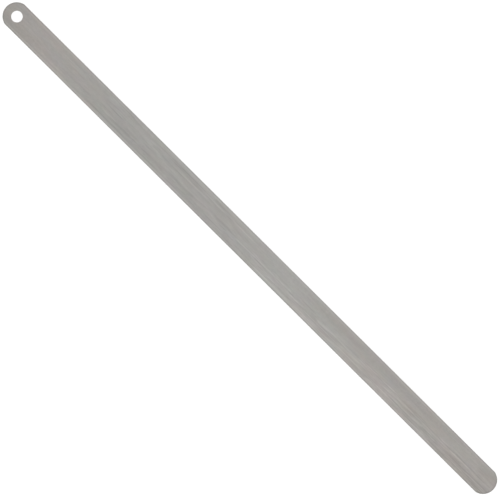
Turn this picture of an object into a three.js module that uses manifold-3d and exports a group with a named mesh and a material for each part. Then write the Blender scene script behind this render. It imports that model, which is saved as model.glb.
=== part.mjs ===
// A flexible steel rule: one flat strip of spring stainless steel with rounded ends and a hanging hole.
// Millimetres, +Z up. The strip lies flat on Z = 0 with its length along X and the hanging hole at -X.
// The origin is the middle of its underside.
//
// The strip is one piece of steel, given as two solids that meet face to face: the blade, which is convex,
// and the short hanging end, which has the hole in it.

import * as THREE from 'three';
import { mergeVertices } from 'three/addons/utils/BufferGeometryUtils.js';
import Module from 'manifold-3d';

const wasm = await Module();
wasm.setup();

// Driving dimensions.
const STRIP_LENGTH = 315;
const STRIP_WIDTH = 12.7;
const STRIP_THICKNESS = 0.5;
// Slightly over half the width, so each end arc meets the long edges at a faint corner.
const END_RADIUS = 6.5;
const HANGING_HOLE_DIAMETER = 5.4;
// From the tip to the middle of the hole: a touch past the centre of the end arc.
const HANGING_HOLE_FROM_TIP = 6.6;
// From the tip to the plane where the hanging end meets the blade.
const HANGING_END_LENGTH = 13.5;
// The sheared and punched edges are tumbled, which leaves a small radius all round.
const EDGE_BREAK = 0.06;

// Smoothness of the curves.
const ARC_DIVISIONS = 24;
const EDGE_BREAK_STEPS = 2;

// Both end arcs are struck from a point on the centre line, this far from the middle of the strip.
const END_ARC_CENTRE = STRIP_LENGTH / 2 - END_RADIUS;

const brushedSteel = new THREE.MeshStandardMaterial({ color: 0xa5a29f, roughness: 0.38, metalness: 1 });

// The punched outline: two arcs joined by the straight long edges.
function stripOutline() {
  const halfSweep = Math.asin(STRIP_WIDTH / 2 / END_RADIUS);
  const outline = new THREE.Shape();
  outline.absarc(END_ARC_CENTRE, 0, END_RADIUS, -halfSweep, halfSweep, false);
  outline.absarc(-END_ARC_CENTRE, 0, END_RADIUS, Math.PI - halfSweep, Math.PI + halfSweep, false);
  outline.closePath();
  return outline;
}

// The round hanging hole, on the centre line at the -X end.
function hangingHole() {
  const holeCentre = HANGING_HOLE_FROM_TIP - STRIP_LENGTH / 2;
  const hole = new THREE.Path();
  hole.absarc(holeCentre, 0, HANGING_HOLE_DIAMETER / 2, 0, 2 * Math.PI, true);
  return hole;
}

// The whole strip: the outline and its hole, given their thickness and broken edges.
function stripGeometry() {
  const outline = stripOutline();
  outline.holes.push(hangingHole());
  const geometry = new THREE.ExtrudeGeometry(outline, {
    depth: STRIP_THICKNESS - 2 * EDGE_BREAK,
    curveSegments: ARC_DIVISIONS,
    bevelEnabled: true,
    bevelThickness: EDGE_BREAK,
    bevelSize: EDGE_BREAK,
    bevelOffset: -EDGE_BREAK,
    bevelSegments: EDGE_BREAK_STEPS,
  });
  geometry.translate(0, 0, EDGE_BREAK);
  return geometry;
}

// A block on the tip's side of the plane where the two solids meet, well past the strip on every other side.
function hangingEndBlock() {
  const block = new THREE.BoxGeometry(STRIP_LENGTH, 2 * STRIP_WIDTH, 4 * STRIP_THICKNESS);
  block.translate(HANGING_END_LENGTH - STRIP_LENGTH, 0, 0);
  return block;
}

// A closed geometry, as a solid that can be cut.
function toSolid(geometry) {
  geometry.deleteAttribute('normal');
  geometry.deleteAttribute('uv');
  const { attributes, index } = mergeVertices(geometry);
  return new wasm.Manifold(new wasm.Mesh({
    numProp: 3,
    vertProperties: attributes.position.array,
    triVerts: new Uint32Array(index.array),
  }));
}

// A cut solid, as a mesh with flat faces.
function toMesh(name, solid, material) {
  const { vertProperties, triVerts } = solid.getMesh();
  const shared = new THREE.BufferGeometry();
  shared.setAttribute('position', new THREE.BufferAttribute(vertProperties, 3));
  shared.setIndex(new THREE.BufferAttribute(triVerts, 1));
  const geometry = shared.toNonIndexed();
  geometry.computeVertexNormals();
  const mesh = new THREE.Mesh(geometry, material);
  mesh.name = name;
  return mesh;
}

const strip = toSolid(stripGeometry());
const endBlock = toSolid(hangingEndBlock());

const steelRule = new THREE.Group();
steelRule.add(toMesh('blade', strip.subtract(endBlock), brushedSteel));
steelRule.add(toMesh('hanging_end', strip.intersect(endBlock), brushedSteel));

export default steelRule;
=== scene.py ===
"""Looks of the flexible steel rule: a finely meshed strip of steel brushed lengthwise, on a pale floor."""

import math

import bmesh
import bpy
from mathutils import Matrix, Vector


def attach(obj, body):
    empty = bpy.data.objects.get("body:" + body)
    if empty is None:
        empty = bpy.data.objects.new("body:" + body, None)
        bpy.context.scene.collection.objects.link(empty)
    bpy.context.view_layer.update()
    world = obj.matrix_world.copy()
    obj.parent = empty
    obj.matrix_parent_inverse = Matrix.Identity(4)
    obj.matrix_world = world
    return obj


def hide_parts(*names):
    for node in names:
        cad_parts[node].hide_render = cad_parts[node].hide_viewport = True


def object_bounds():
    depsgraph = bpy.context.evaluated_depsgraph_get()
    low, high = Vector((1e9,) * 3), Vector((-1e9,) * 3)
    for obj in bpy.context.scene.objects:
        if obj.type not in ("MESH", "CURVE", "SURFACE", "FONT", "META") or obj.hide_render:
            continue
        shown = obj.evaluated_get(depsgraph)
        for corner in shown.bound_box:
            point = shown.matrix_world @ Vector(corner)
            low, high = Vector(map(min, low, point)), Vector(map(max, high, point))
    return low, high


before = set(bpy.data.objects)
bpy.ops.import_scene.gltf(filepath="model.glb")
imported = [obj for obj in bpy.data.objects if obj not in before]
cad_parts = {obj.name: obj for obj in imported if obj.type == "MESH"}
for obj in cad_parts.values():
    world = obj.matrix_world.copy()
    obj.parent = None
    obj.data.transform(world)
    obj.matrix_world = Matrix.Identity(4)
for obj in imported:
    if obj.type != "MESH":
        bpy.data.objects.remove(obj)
cad_low, cad_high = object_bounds()

MM = 0.001

# The strip's outline, as in the CAD model.
HALF_LENGTH = (cad_high.x - cad_low.x) / 2
HALF_WIDTH = (cad_high.y - cad_low.y) / 2
TOP = cad_high.z
END_RADIUS = 6.5 * MM
HOLE_RADIUS = 2.7 * MM
HOLE_FROM_TIP = 6.6 * MM
END_CENTRE = HALF_LENGTH - END_RADIUS

# The ink of the printed scale stands this far proud of the underside, and the rule rests on it.
INK = 0.01 * MM
UNDERSIDE = cad_low.z + INK

# The printed scale, which starts near the plain end. Its ink is rooted this deep in the steel.
INK_ROOT = 0.002 * MM
SCALE_MM = 300
SCALE_FROM_TIP = 5 * MM
SCALE_ZERO = HALF_LENGTH - SCALE_FROM_TIP
TICK_WIDTH = 0.13 * MM
TICK_MARGIN = 0.2 * MM
# Every so many half millimetres, the longest first.
TICK_LENGTHS = [(20, 4.0 * MM), (10, 3.1 * MM), (2, 2.3 * MM), (1, 1.5 * MM)]
NUMBERED_EVERY = 10
NUMERAL_SIZE = 2.5 * MM
NUMERAL_GAP = 0.5 * MM
NUMERAL_CURVE_STEPS = 3

# Broken edges: the radius left by tumbling, and how finely it is meshed.
EDGE_RADIUS = 0.06 * MM
EDGE_STEPS = 4

# Mesh density. Each end is a round patch that meets the long middle at a straight gate across the strip.
GATE = 6.5 * MM
ARC_STEPS = 48
SHOULDER_STEPS = 6
GATE_STEPS = 12
MIDDLE_STEPS = 120
RING_STEPS = 5

# Points of the strip and of the numerals that are closer than this become one.
STRIP_WELD = 0.001 * MM
NUMERAL_WELD = 0.0001 * MM

# How far the large flat faces decide the normals, out of 100.
FLAT_FACE_WEIGHT = 100

# Streaks and patches in the steel, drawn out along it. Each is a length and a width in mm, a level of
# detail and a seed.
ROLLING_BANDS = (130, 4.5, 1, 3.1)
SCRATCH_CLUSTERS = (35, 3, 1, 23.3)
GRAIN = (1.0, 0.55, 2, 83.9)
MOTTLE = (30, 5, 2, 57.7)
FILM_PATCHES = (9, 4, 2, 91.3)

# Straight lines in the steel, side by side along it: the same numbers.
BRUSHING = (30, 0.62, 2, 7.4)
LONG_SCRATCHES = (45, 0.40, 2, 31.7)
SHORT_SCRATCHES = (14, 0.28, 2, 47.1)
HAIRLINES = (20, 0.09, 3, 11.9)
GROOVES = (45, 0.37, 3, 71.3)

# How strongly they show in the steel's tone. The scratches and hairlines are cubed first.
BANDS_SHOW = 0.10
BRUSHING_SHOWS = 0.10
LONG_SCRATCHES_SHOW = 30
SHORT_SCRATCHES_SHOW = 50
HAIRLINES_SHOW = 30
GRAIN_SHOWS = 0.24

# Scratches are kept between this dark and this light.
SCRATCH_LIMITS = (-0.10, 0.16)

# Where the clusters' noise starts and ends a cluster, and how strong scratches are outside and inside one.
CLUSTER_EDGES = (0.38, 0.62)
CLUSTER_STRENGTHS = (0.15, 0.75)

# What nearly all of a noise lies between, as it is and about its middle.
NOISE_SPAN = (0.3, 0.7)
LEVEL_SPAN = (-0.2, 0.2)
NOISE_ROUGHNESS = 0.6

# How far apart in the noise neighbouring lines are taken, and which way a seed moves a streak's noise.
LINE_SPACING = 7.31
SEED_DIRECTION = (1, 1.7, 2.3)

# Painted light in the steel: patches painted lighter as painted highlights and reflections of the studio
# (above 0), and darker as painted shade (below 0). Each is x from, to and fade, then y from, to and fade,
# all in mm, and how much.
PAINTED_LIGHT_ZONES = {
    "painted light in the middle": (20, 35, 22, -6.5, 6.5, 1.0, 0.025),
    "painted highlight, long stretch": (26, 88, 18, -5.2, -1.4, 0.9, 0.035),
    "painted highlight line to the plain tip": (90, 154, 10, -1.3, -1.0, 0.4, 0.055),
    "painted shade, patch at the plain tip": (130, 158, 12, -5.4, -2.9, 0.8, -0.075),
    "painted shade, plain tip, other side": (149, 158, 5, 1.4, 4.2, 0.8, -0.055),
    "painted shade, stretch at the hole end": (-85, -40, 25, -4.8, -1.9, 1.0, -0.035),
    "painted shade, stretch before the middle": (-48, -22, 14, 1.2, 4.2, 0.9, -0.055),
    "painted shade, stretch along the other edge": (50, 110, 25, 2.8, 4.8, 1.0, -0.045),
    "painted edge highlight along the hole end": (-143, -45, 15, -5.7, -5.35, 0.3, 0.06),
    "painted shade beside the edge highlight": (-143, -60, 15, -4.95, -4.6, 0.35, -0.035),
    "painted shade round the hole": (-158, -150, 8, -6.5, 6.5, 1.0, -0.035),
    "painted shade below the hole": (-158, -139, 10, -5.8, -2.8, 0.9, -0.03),
}

# Where the scratches are strongest, and where all the streaks are fainter: the same numbers, as a share of
# their full strength.
SCRATCHED_ZONE = (10, 158, 20, -5.5, -0.6, 1.0, 0.9)
CALM_ZONES = {
    "hole end": (-158, -110, 25, -6.5, 6.5, 1.0, -0.5),
    "plain end, other side": (12, 158, 20, 0.6, 6.5, 0.8, -0.65),
}

# A painted highlight, a lighter line just inside the long edges: how far in it lies, how softly it ends,
# and how much.
EDGE_LINE_INNER = 1.0 * MM
EDGE_LINE_OUTER = 0.75 * MM
EDGE_LINE_FADE = 0.3 * MM
EDGE_LINE_END_FADE = 3 * MM
EDGE_LINE_LIGHTER = 0.06

# The faces' rim is painted darker all round the outline, as painted shade at the edge: how far in it
# starts and where it is full, and how much.
RIM_INNER = 0.55 * MM
RIM_OUTER = 0.25 * MM
RIM_DARKER = 0.09

# How much darker and rougher than the faces the broken edges are: rougher from tumbling, and painted
# darker as painted shade that dims their reflection of the pale floor and walls. The normal's Z, whichever
# way it points, is under the first number on an edge and over the second on a face.
EDGE_DARKER = 0.4
EDGE_ROUGHER = 0.1
EDGE_NORMALS = (0.85, 0.99)

# The steel: its colours, how warm the mottle makes it, and where it is cooler: x from, to and fade in mm.
COOL_STEEL = (0.594, 0.580, 0.5535, 1)
WARM_STEEL = (0.617, 0.580, 0.546, 1)
WARMTH = (0.2, 1.2)
COOLER_FROM, COOLER_TO, COOLER_FADE = -70, 10, 70
STEEL_ROUGHNESS = (0.32, 0.40)
STEEL_ANISOTROPY = 0.55
GROOVE_STRENGTH = 0.5

# How strongly the faint film on the steel tints it.
FILM = 0.075

# The ink: fresh and worn, with the wear's patches and the fine grain given as the steel's streaks are.
FRESH_INK = (0.022, 0.022, 0.024, 1)
WORN_INK = (0.075, 0.074, 0.073, 1)
INK_WEAR = (3, 1.2, 3, 5.3)
INK_WEAR_EDGES = (0.35, 0.75)
INK_ROUGHNESS = (0.42, 0.6)
INK_GRAIN = (0.12, 0.08, 2, 8.9)
INK_GRAIN_STRENGTH = 0.4

# How deep the grooves in the steel and the grain of the ink are.
BUMP_DEPTH = 0.004 * MM

# The photograph's framing: straight down, the rule lying corner to corner.
LENS_MM = 100
SENSOR_MM = 36
FRAME_WIDTH = 229.64 * MM
ROLL = math.radians(44.824)
AIM_X = 0.17 * MM
AIM_Y = -0.085 * MM

# The nearest and the farthest that the camera sees, in metres.
NEAREST = 0.01
FARTHEST = 100

# The floor, which glows a little so that it stays pale. Its half side is in metres.
FLOOR_HALF_SIDE = 4
FLOOR_COLOUR = (0.9, 0.9, 0.9, 1)
FLOOR_ROUGHNESS = 0.9
FLOOR_SPECULAR = 0.1
FLOOR_GLOW = 0.6

# The studio: walls that are lighter than the ceiling, and how high on a unit sphere they reach it.
HORIZON_LIGHT = 0.72
ZENITH_LIGHT = 0.525
CEILING = 0.9
WHITE = (1, 1, 1, 1)

# The softbox overhead, in metres and watts.
SOFTBOX_LENGTH = 1.0
SOFTBOX_WIDTH = 0.5
SOFTBOX_PLACE = (0.09, 0, 1.2)
SOFTBOX_WATTS = 0.26


def steps(first, last, count):
    """count + 1 evenly spaced values from first to last."""
    return [first + (last - first) * i / count for i in range(count + 1)]


# --- Strip mesh ---------------------------------------------------------------------------------------

def end_run(inset):
    """Half of the outline about an end's centre: in along a long edge, round the tip, and back out."""
    radius = END_RADIUS - inset
    half = HALF_WIDTH - inset
    sweep = math.asin(half / radius)
    tip = [(radius * math.cos(a), radius * math.sin(a)) for a in steps(-sweep, sweep, ARC_STEPS)]
    lower = [(x, -half) for x in steps(-GATE, tip[0][0], SHOULDER_STEPS)]
    upper = [(x, half) for x in steps(tip[-1][0], -GATE, SHOULDER_STEPS)]
    return lower[:-1] + tip + upper[1:]


def end_patch(inset):
    """The closed outline of an end's patch: its half of the rule's outline, and the gate."""
    half = HALF_WIDTH - inset
    return end_run(inset) + [(-GATE, y) for y in steps(half, -half, GATE_STEPS)[1:-1]]


def hole_ring(inset):
    """The hole's edge, one point in line with each point of the patch around it."""
    radius = HOLE_RADIUS + inset
    centre = END_RADIUS - HOLE_FROM_TIP
    turns = [math.atan2(y, x - centre) for x, y in end_patch(0)]
    return [(centre + radius * math.cos(turn), radius * math.sin(turn)) for turn in turns]


def at_plain_end(points):
    return [(x + END_CENTRE, y) for x, y in points]


def at_hole_end(points):
    return [(-x - END_CENTRE, -y) for x, y in points]


def outline(inset):
    """The rule's whole outline, moved in by inset."""
    half = HALF_WIDTH - inset
    gate_x = END_CENTRE - GATE
    upper = [(x, half) for x in steps(gate_x, -gate_x, MIDDLE_STEPS)[1:-1]]
    lower = [(x, -half) for x in steps(-gate_x, gate_x, MIDDLE_STEPS)[1:-1]]
    return at_plain_end(end_run(inset)) + upper + at_hole_end(end_run(inset)) + lower


def between(inner, outer, count):
    """Rings that lead from the inner loop to the outer one."""
    return [
        [(a + (c - a) * share, b + (d - b) * share) for (a, b), (c, d) in zip(inner, outer)]
        for share in steps(0, 1, count)
    ]


def lifted(rows, z):
    """Rows of flat points, all raised to z."""
    return [[(x, y, z) for x, y in row] for row in rows]


def add_rows(mesh, rows, closed):
    """Quads between neighbouring rows of points, each row a loop if closed."""
    made = [[mesh.verts.new(point) for point in row] for row in rows]
    for row, after in zip(made, made[1:]):
        count = len(row)
        for i in range(count if closed else count - 1):
            j = (i + 1) % count
            mesh.faces.new((row[i], row[j], after[j], after[i]))


def add_face_side(mesh, z):
    """One flat side of the strip: the hole's end, the plain end and the long middle."""
    patch = end_patch(EDGE_RADIUS)
    half = HALF_WIDTH - EDGE_RADIUS
    gate_x = END_CENTRE - GATE
    across = steps(-half, half, GATE_STEPS)
    around_hole = between(hole_ring(EDGE_RADIUS), patch, RING_STEPS)
    around_tip = between([(0, 0)] * len(patch), patch, RING_STEPS)
    middle = [[(x, y) for y in across] for x in steps(-gate_x, gate_x, MIDDLE_STEPS)]
    add_rows(mesh, lifted([at_hole_end(ring) for ring in around_hole], z), closed=True)
    add_rows(mesh, lifted([at_plain_end(ring) for ring in around_tip], z), closed=True)
    add_rows(mesh, lifted(middle, z), closed=False)


def edge_section():
    """How the broken edge runs from the top to the underside, as (inset, height)."""
    turn = steps(0, math.pi / 2, EDGE_STEPS)
    curve = [(EDGE_RADIUS * (1 - math.sin(a)), EDGE_RADIUS * (1 - math.cos(a))) for a in turn]
    top = [(inset, TOP - fall) for inset, fall in curve]
    under = [(inset, UNDERSIDE + rise) for inset, rise in curve]
    return top + under[::-1]


def make_strip():
    mesh = bmesh.new()
    add_face_side(mesh, TOP)
    add_face_side(mesh, UNDERSIDE)
    outer_rows = []
    hole_rows = []
    for inset, z in edge_section():
        outer_rows += lifted([outline(inset)], z)
        hole_rows += lifted([at_hole_end(hole_ring(inset))], z)
    add_rows(mesh, outer_rows, closed=True)
    add_rows(mesh, hole_rows, closed=True)
    bmesh.ops.remove_doubles(mesh, verts=mesh.verts, dist=STRIP_WELD)
    bmesh.ops.recalc_face_normals(mesh, faces=mesh.faces)
    grain = mesh.loops.layers.uv.new("along_the_grain")
    for face in mesh.faces:
        face.smooth = True
        for loop in face.loops:
            loop[grain].uv = (loop.vert.co.x, loop.vert.co.y)
    data = bpy.data.meshes.new("steel_strip")
    mesh.to_mesh(data)
    mesh.free()
    strip = bpy.data.objects.new("steel_strip", data)
    bpy.context.collection.objects.link(strip)
    even = strip.modifiers.new("even_normals", "WEIGHTED_NORMAL")
    even.weight = FLAT_FACE_WEIGHT
    return strip


# --- Scale on the underside ---------------------------------------------------------------------------

def add_prism(mesh, corners):
    """A closed prism of ink, from the surface that the rule lies on up into the steel."""
    low = [mesh.verts.new((x, y, cad_low.z)) for x, y in corners]
    high = [mesh.verts.new((x, y, UNDERSIDE + INK_ROOT)) for x, y in corners]
    mesh.faces.new(low)
    mesh.faces.new(high[::-1])
    for i in range(len(corners)):
        j = (i + 1) % len(corners)
        mesh.faces.new((low[j], low[i], high[i], high[j]))


def tick_length(half_mm):
    """A graduation's length by its place, in half millimetres from zero."""
    for every, length in TICK_LENGTHS:
        if half_mm % every == 0:
            return length


def add_graduations(mesh, edge, every):
    """The ticks along one long edge, one every so many half millimetres."""
    start = edge * (HALF_WIDTH - TICK_MARGIN)
    for half_mm in range(0, 2 * SCALE_MM + 1, every):
        x = SCALE_ZERO - half_mm / 2 * MM
        end = start - edge * tick_length(half_mm)
        left, right = x - TICK_WIDTH / 2, x + TICK_WIDTH / 2
        add_prism(mesh, [(left, start), (right, start), (right, end), (left, end)])


def add_numeral(mesh, value):
    """A number just before its graduation, to be read from below with +Y up."""
    text = bpy.data.curves.new("numeral", "FONT")
    text.body = str(value)
    text.size = NUMERAL_SIZE
    text.resolution_u = NUMERAL_CURVE_STEPS
    text.align_x = "RIGHT"
    text.align_y = "CENTER"
    text.extrude = (INK + INK_ROOT) / 2
    holder = bpy.data.objects.new("numeral", text)
    glyphs = bpy.data.meshes.new_from_object(holder)
    middle = (UNDERSIDE + INK_ROOT + cad_low.z) / 2
    place = Vector((SCALE_ZERO - value * MM + NUMERAL_GAP, 0, middle))
    glyphs.transform(Matrix.Translation(place) @ Matrix.Rotation(math.pi, 4, "Y"))
    mesh.from_mesh(glyphs)
    bpy.data.objects.remove(holder)
    bpy.data.curves.remove(text)
    bpy.data.meshes.remove(glyphs)


def make_scale():
    mesh = bmesh.new()
    for value in range(NUMBERED_EVERY, SCALE_MM + 1, NUMBERED_EVERY):
        add_numeral(mesh, value)
    bmesh.ops.remove_doubles(mesh, verts=mesh.verts, dist=NUMERAL_WELD)
    add_graduations(mesh, edge=1, every=2)
    add_graduations(mesh, edge=-1, every=1)
    bmesh.ops.recalc_face_normals(mesh, faces=mesh.faces)
    data = bpy.data.meshes.new("scale_marks")
    mesh.to_mesh(data)
    mesh.free()
    scale = bpy.data.objects.new("scale_marks", data)
    bpy.context.collection.objects.link(scale)
    return scale


# --- Materials ----------------------------------------------------------------------------------------

class Nodes:
    """A material's node tree, with short calls for the nodes used here."""

    def __init__(self, name):
        self.material = bpy.data.materials.new(name)
        self.material.use_nodes = True
        self.tree = self.material.node_tree
        self.shader = self.tree.nodes["Principled BSDF"]

    def new(self, kind, **settings):
        node = self.tree.nodes.new(kind)
        for name, value in settings.items():
            setattr(node, name, value)
        return node

    def link(self, source, target):
        self.tree.links.new(source, target)

    def place(self):
        """The point being shaded, in its piece's own frame."""
        return self.new("ShaderNodeTexCoord").outputs["Object"]

    def apart(self, vector):
        """A vector's X, Y and Z, by name."""
        node = self.new("ShaderNodeSeparateXYZ")
        self.link(vector, node.inputs[0])
        return node.outputs

    def maths(self, operation, a, b=None):
        node = self.new("ShaderNodeMath", operation=operation)
        for socket, value in zip(node.inputs, (a, b)):
            if isinstance(value, (int, float)):
                socket.default_value = value
            elif value is not None:
                self.link(value, socket)
        return node.outputs[0]

    def total(self, parts, start=0):
        """The sum of the parts, each times its weight, on top of start."""
        total = start
        for value, weight in parts:
            total = self.maths("ADD", self.maths("MULTIPLY", value, weight), total)
        return total

    def ranged(self, value, low, high, to_low, to_high, kind="LINEAR"):
        """The value, taken from low and high to the new low and high, and kept between them."""
        node = self.new("ShaderNodeMapRange", interpolation_type=kind)
        self.link(value, node.inputs["Value"])
        limits = {"From Min": low, "From Max": high, "To Min": to_low, "To Max": to_high}
        for name, number in limits.items():
            node.inputs[name].default_value = number
        return node.outputs["Result"]

    def band(self, value, low, high, soft):
        """1 from low to high, fading to 0 over soft on either side."""
        rise = self.ranged(value, low - soft, low, 0, 1, "SMOOTHSTEP")
        fall = self.ranged(value, high, high + soft, 1, 0, "SMOOTHSTEP")
        return self.maths("MULTIPLY", rise, fall)

    def zone(self, x, y, sides):
        """A soft-sided rectangle, of the strength that its last number gives."""
        x_low, x_high, x_soft, y_low, y_high, y_soft, strength = sides
        along = self.band(x, x_low * MM, x_high * MM, x_soft * MM)
        across = self.band(y, y_low * MM, y_high * MM, y_soft * MM)
        return self.maths("MULTIPLY", self.maths("MULTIPLY", along, across), strength)

    def turned_away(self):
        """0 on the flat faces and 1 on the edges, where the surface turns away from them."""
        normal = self.apart(self.new("ShaderNodeNewGeometry").outputs["Normal"])
        return self.ranged(self.maths("ABSOLUTE", normal["Z"]), *EDGE_NORMALS, 1, 0)

    def noise(self, place, detail):
        noise = self.new("ShaderNodeTexNoise")
        noise.inputs["Scale"].default_value = 1
        noise.inputs["Detail"].default_value = detail
        noise.inputs["Roughness"].default_value = NOISE_ROUGHNESS
        self.link(place, noise.inputs["Vector"])
        return noise.outputs

    def line_level(self, x, line, length, detail, seed):
        """How light a line is at x, about 0: each line goes its own way along X."""
        place = self.new("ShaderNodeCombineXYZ")
        self.link(self.maths("DIVIDE", x, length * MM), place.inputs["X"])
        self.link(self.maths("MULTIPLY", line, LINE_SPACING), place.inputs["Y"])
        place.inputs["Z"].default_value = seed
        return self.maths("SUBTRACT", self.noise(place.outputs[0], detail)["Fac"], 0.5)

    def crisp_lines(self, x, y, texture):
        """Straight lines with sharp sides: mostly faint, and some light or dark."""
        length, width, detail, seed = texture
        line = self.maths("FLOOR", self.maths("DIVIDE", y, width * MM))
        return self.maths("POWER", self.line_level(x, line, length, detail, seed), 3)

    def soft_lines(self, x, y, texture):
        """Straight lines that blend into each other."""
        length, width, detail, seed = texture
        lines = self.maths("DIVIDE", y, width * MM)
        line = self.maths("FLOOR", lines)
        share = self.ranged(self.maths("SUBTRACT", lines, line), 0, 1, 0, 1, "SMOOTHSTEP")
        here = self.line_level(x, line, length, detail, seed)
        after = self.line_level(x, self.maths("ADD", line, 1), length, detail, seed)
        change = self.maths("MULTIPLY", self.maths("SUBTRACT", after, here), share)
        return self.maths("ADD", here, change)

    def drawn_out(self, place, texture):
        """Noise drawn out along X, in patches of about the texture's length and width."""
        length, width, detail, seed = texture
        mapping = self.new("ShaderNodeMapping")
        mapping.inputs["Scale"].default_value = (1 / (length * MM), 1 / (width * MM), 1 / MM)
        mapping.inputs["Location"].default_value = [seed * share for share in SEED_DIRECTION]
        self.link(place, mapping.inputs["Vector"])
        return self.noise(mapping.outputs[0], detail)

    def streaks(self, place, texture):
        return self.drawn_out(place, texture)["Fac"]

    def colour_noise(self, place, texture):
        return self.drawn_out(place, texture)["Color"]

    def mix(self, share, first, second):
        """From the first colour to the second, by share."""
        node = self.new("ShaderNodeMix", data_type="RGBA")
        colours = [socket for socket in node.inputs if socket.type == "RGBA"]
        self.link(share, node.inputs[0])
        for socket, colour in zip(colours, (first, second)):
            socket.default_value = colour
        return next(socket for socket in node.outputs if socket.type == "RGBA")

    def bump(self, height, strength):
        node = self.new("ShaderNodeBump")
        node.inputs["Strength"].default_value = strength
        node.inputs["Distance"].default_value = BUMP_DEPTH
        self.link(height, node.inputs["Height"])
        self.link(node.outputs["Normal"], self.shader.inputs["Normal"])


def scratches(nodes, place, x, y):
    """Long and short scratches, strongest in clusters and in the scratched zone."""
    clusters = nodes.ranged(nodes.streaks(place, SCRATCH_CLUSTERS), *CLUSTER_EDGES, *CLUSTER_STRENGTHS)
    clusters = nodes.maths("ADD", clusters, nodes.zone(x, y, SCRATCHED_ZONE))
    both = nodes.total([
        (nodes.crisp_lines(x, y, LONG_SCRATCHES), LONG_SCRATCHES_SHOW),
        (nodes.crisp_lines(x, y, SHORT_SCRATCHES), SHORT_SCRATCHES_SHOW),
    ])
    return nodes.ranged(nodes.maths("MULTIPLY", both, clusters), *SCRATCH_LIMITS, *SCRATCH_LIMITS)


def all_streaks(nodes, place, x, y):
    """Bands from rolling, brushing, scratches and hairlines, fainter in the calm zones."""
    bands = nodes.maths("SUBTRACT", nodes.streaks(place, ROLLING_BANDS), 0.5)
    streaks = nodes.total([
        (bands, BANDS_SHOW),
        (nodes.soft_lines(x, y, BRUSHING), BRUSHING_SHOWS),
        (scratches(nodes, place, x, y), 1),
        (nodes.crisp_lines(x, y, HAIRLINES), HAIRLINES_SHOW),
    ])
    calm = nodes.total([(nodes.zone(x, y, zone), 1) for zone in CALM_ZONES.values()], 1)
    return nodes.maths("MULTIPLY", streaks, calm)


def edge_line(nodes, x, y):
    """1 on the painted highlight, a lighter line just inside each long edge."""
    inner = HALF_WIDTH - EDGE_LINE_INNER
    outer = HALF_WIDTH - EDGE_LINE_OUTER
    across = nodes.band(nodes.maths("ABSOLUTE", y), inner, outer, EDGE_LINE_FADE)
    return nodes.maths("MULTIPLY", across, nodes.band(x, -END_CENTRE, END_CENTRE, EDGE_LINE_END_FADE))


def rim(nodes, x, y):
    """1 on the rim of painted shade, by the distance from the line between the two ends' centres."""
    beyond = nodes.maths("MAXIMUM", nodes.maths("SUBTRACT", nodes.maths("ABSOLUTE", x), END_CENTRE), 0)
    squares = nodes.maths("ADD", nodes.maths("POWER", beyond, 2), nodes.maths("POWER", y, 2))
    out = nodes.maths("SQRT", squares)
    return nodes.ranged(out, HALF_WIDTH - RIM_INNER, HALF_WIDTH - RIM_OUTER, 0, 1, "SMOOTHSTEP")


def steel_tone(nodes, place, x, y):
    """How light the steel's faces are, about 1, with its painted highlights and painted shade."""
    grain = nodes.maths("SUBTRACT", nodes.streaks(place, GRAIN), 0.5)
    # Painted highlights and painted shade, patch by patch, that stand in for the light the steel reflects.
    painted_light = [(nodes.zone(x, y, zone), 1) for zone in PAINTED_LIGHT_ZONES.values()]
    return nodes.total([
        (all_streaks(nodes, place, x, y), 1),
        (grain, GRAIN_SHOWS),
        # The painted highlight just inside the long edges.
        (edge_line(nodes, x, y), EDGE_LINE_LIGHTER),
        # The painted shade on the faces' rim.
        (rim(nodes, x, y), -RIM_DARKER),
    ] + painted_light, 1)


def steel_colour(nodes, place, x):
    """The steel's colour before its tone: warm and cool mottle under a faint film."""
    cooler = nodes.band(x, COOLER_FROM * MM, COOLER_TO * MM, COOLER_FADE * MM)
    mottle = nodes.ranged(nodes.streaks(place, MOTTLE), *NOISE_SPAN, *WARMTH)
    steel = nodes.mix(nodes.maths("SUBTRACT", mottle, cooler), COOL_STEEL, WARM_STEEL)
    film = nodes.new("ShaderNodeVectorMath", operation="MULTIPLY_ADD")
    nodes.link(nodes.colour_noise(place, FILM_PATCHES), film.inputs[0])
    film.inputs[1].default_value = [FILM] * 3
    film.inputs[2].default_value = [1 - FILM / 2] * 3
    filmed = nodes.new("ShaderNodeVectorMath", operation="MULTIPLY")
    nodes.link(steel, filmed.inputs[0])
    nodes.link(film.outputs[0], filmed.inputs[1])
    return filmed.outputs[0]


def brushed_steel():
    nodes = Nodes("brushed_steel")
    shader = nodes.shader
    shader.inputs["Metallic"].default_value = 1
    shader.inputs["Anisotropic"].default_value = STEEL_ANISOTROPY
    place = nodes.place()
    apart = nodes.apart(place)
    x, y = apart["X"], apart["Y"]
    broken_edge = nodes.turned_away()

    colour = nodes.new("ShaderNodeVectorMath", operation="SCALE")
    nodes.link(steel_colour(nodes, place, x), colour.inputs[0])
    # The broken edges are painted darker: painted shade that dims their reflection.
    tone = nodes.total([(broken_edge, -EDGE_DARKER)], steel_tone(nodes, place, x, y))
    nodes.link(tone, colour.inputs["Scale"])
    nodes.link(colour.outputs[0], shader.inputs["Base Color"])

    grooves = nodes.soft_lines(x, y, GROOVES)
    roughness = nodes.ranged(grooves, *LEVEL_SPAN, *STEEL_ROUGHNESS)
    nodes.link(nodes.total([(broken_edge, EDGE_ROUGHER)], roughness), shader.inputs["Roughness"])
    nodes.bump(grooves, GROOVE_STRENGTH)

    tangent = nodes.new("ShaderNodeTangent", direction_type="UV_MAP", uv_map="along_the_grain")
    nodes.link(tangent.outputs[0], shader.inputs["Tangent"])
    return nodes.material


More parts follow.
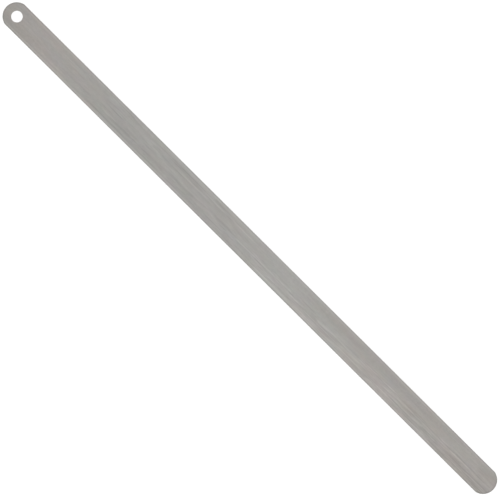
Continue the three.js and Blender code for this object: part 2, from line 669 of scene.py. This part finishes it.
def scale_enamel():
    nodes = Nodes("scale_enamel")
    place = nodes.place()
    worn = nodes.ranged(nodes.streaks(place, INK_WEAR), *INK_WEAR_EDGES, 0, 1)
    nodes.link(nodes.mix(worn, FRESH_INK, WORN_INK), nodes.shader.inputs["Base Color"])
    nodes.link(nodes.ranged(worn, 0, 1, *INK_ROUGHNESS), nodes.shader.inputs["Roughness"])
    nodes.bump(nodes.streaks(place, INK_GRAIN), INK_GRAIN_STRENGTH)
    return nodes.material


def pale_floor():
    nodes = Nodes("pale_floor")
    nodes.shader.inputs["Base Color"].default_value = FLOOR_COLOUR
    nodes.shader.inputs["Roughness"].default_value = FLOOR_ROUGHNESS
    nodes.shader.inputs["Specular IOR Level"].default_value = FLOOR_SPECULAR
    nodes.shader.inputs["Emission Color"].default_value = WHITE
    nodes.shader.inputs["Emission Strength"].default_value = FLOOR_GLOW
    return nodes.material


# --- Studio -------------------------------------------------------------------------------------------

def make_camera():
    data = bpy.data.cameras.new("camera")
    data.lens = LENS_MM
    data.sensor_width = SENSOR_MM
    data.clip_start = NEAREST
    data.clip_end = FARTHEST
    camera = bpy.data.objects.new("camera", data)
    camera.location = (AIM_X, AIM_Y, TOP + FRAME_WIDTH * LENS_MM / SENSOR_MM)
    camera.rotation_euler = (0, 0, ROLL)
    bpy.context.collection.objects.link(camera)
    bpy.context.scene.camera = camera


def make_floor():
    side = FLOOR_HALF_SIDE
    data = bpy.data.meshes.new("floor")
    corners = [(-side, -side, 0), (side, -side, 0), (side, side, 0), (-side, side, 0)]
    data.from_pydata(corners, [], [(0, 1, 2, 3)])
    floor = bpy.data.objects.new("floor", data)
    floor.location.z = cad_low.z - INK
    data.materials.append(pale_floor())
    bpy.context.collection.objects.link(floor)


def make_world():
    world = bpy.data.worlds.new("studio")
    world.use_nodes = True
    tree = world.node_tree
    background = tree.nodes["Background"]
    background.inputs["Color"].default_value = WHITE
    direction = tree.nodes.new("ShaderNodeTexCoord")
    apart = tree.nodes.new("ShaderNodeSeparateXYZ")
    fade = tree.nodes.new("ShaderNodeMapRange")
    fade.interpolation_type = "SMOOTHSTEP"
    fade.inputs["From Min"].default_value = 0
    fade.inputs["From Max"].default_value = CEILING
    fade.inputs["To Min"].default_value = HORIZON_LIGHT
    fade.inputs["To Max"].default_value = ZENITH_LIGHT
    tree.links.new(direction.outputs["Generated"], apart.inputs[0])
    tree.links.new(apart.outputs["Z"], fade.inputs["Value"])
    tree.links.new(fade.outputs["Result"], background.inputs["Strength"])
    bpy.context.scene.world = world


def make_softbox():
    data = bpy.data.lights.new("softbox", "AREA")
    data.shape = "RECTANGLE"
    data.size = SOFTBOX_LENGTH
    data.size_y = SOFTBOX_WIDTH
    data.energy = SOFTBOX_WATTS
    softbox = bpy.data.objects.new("softbox", data)
    softbox.location = SOFTBOX_PLACE
    bpy.context.collection.objects.link(softbox)


make_camera()
make_floor()
make_world()
make_softbox()
bpy.context.scene.view_settings.view_transform = "Standard"

strip = make_strip()
strip.data.materials.append(brushed_steel())
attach(strip, "root")
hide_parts("blade", "hanging_end")

scale = make_scale()
scale.data.materials.append(scale_enamel())
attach(scale, "root")
